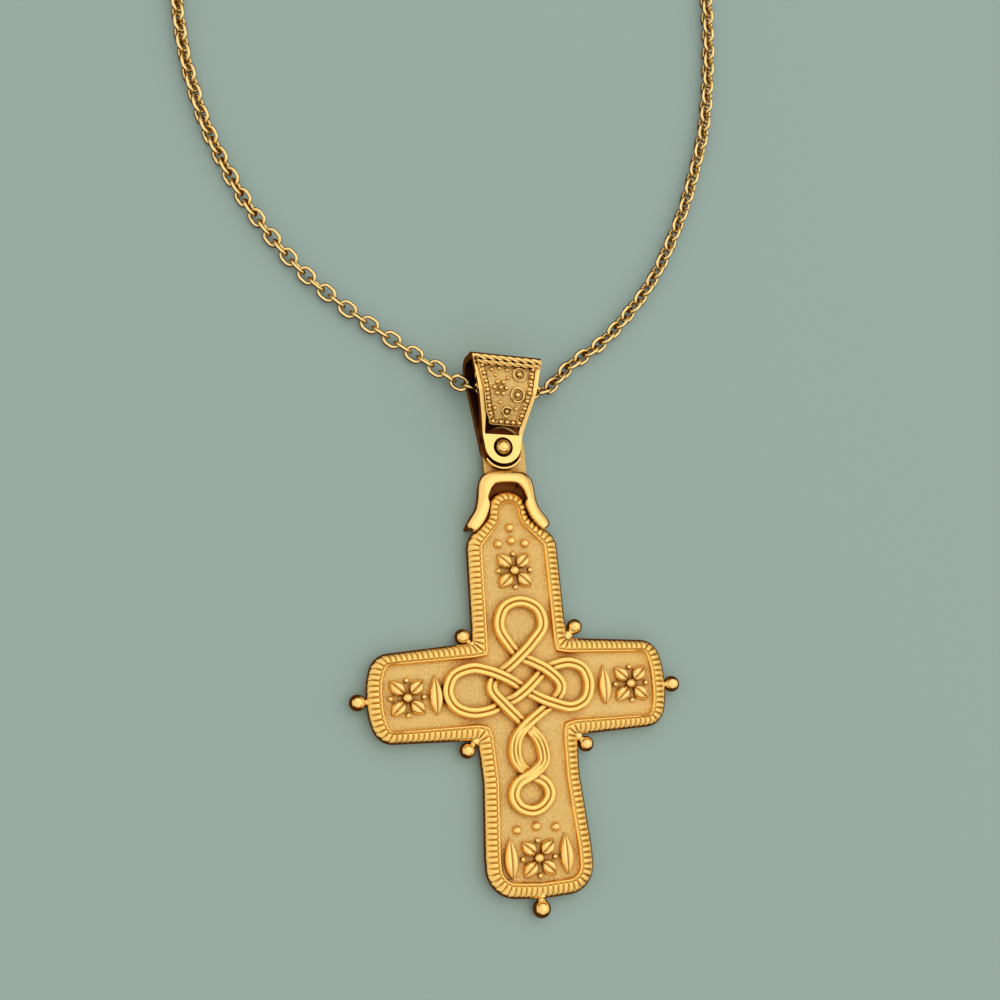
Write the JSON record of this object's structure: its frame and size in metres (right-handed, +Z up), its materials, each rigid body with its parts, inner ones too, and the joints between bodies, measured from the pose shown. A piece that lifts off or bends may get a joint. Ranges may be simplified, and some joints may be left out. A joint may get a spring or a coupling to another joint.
{
  "type": "cross pendant necklace",
  "caption": "Flared cross pendant with a raised knot, milled border and ball ends, riveted through a tapered bail on a fine cable chain laid flat in a whole loop.",
  "frame": {"origin": "on the surface the necklace lies on, under the pin that joins the bail and the cross, on the bail's flat back", "axes": "+Y from the pin up the bail to the chain's far side, +Z up from the surface, +X to the right"},
  "size_m": [0.0615, 0.2478, 0.0053],
  "materials": {
    "gold_cast": "cast and lightly polished yellow gold plate",
    "gold_polished": "polished yellow gold plate",
    "gold_chain": "polished pale gold plate"
  },
  "bodies": {
    "necklace": {"bail": "gold_polished", "rivet": "gold_polished", "chain_front": "gold_chain", "chain_back": "gold_chain", "clasp": "gold_chain"},
    "pendant": {"cross": "gold_cast", "cap": "gold_polished"}
  },
  "joints": [
    {"name": "cross_swing", "type": "hinge", "parent": "necklace", "child": "pendant", "pos_m": [0, 0, 0], "axis": [0, 0, 1], "range_deg": [-35, 35]}
  ]
}
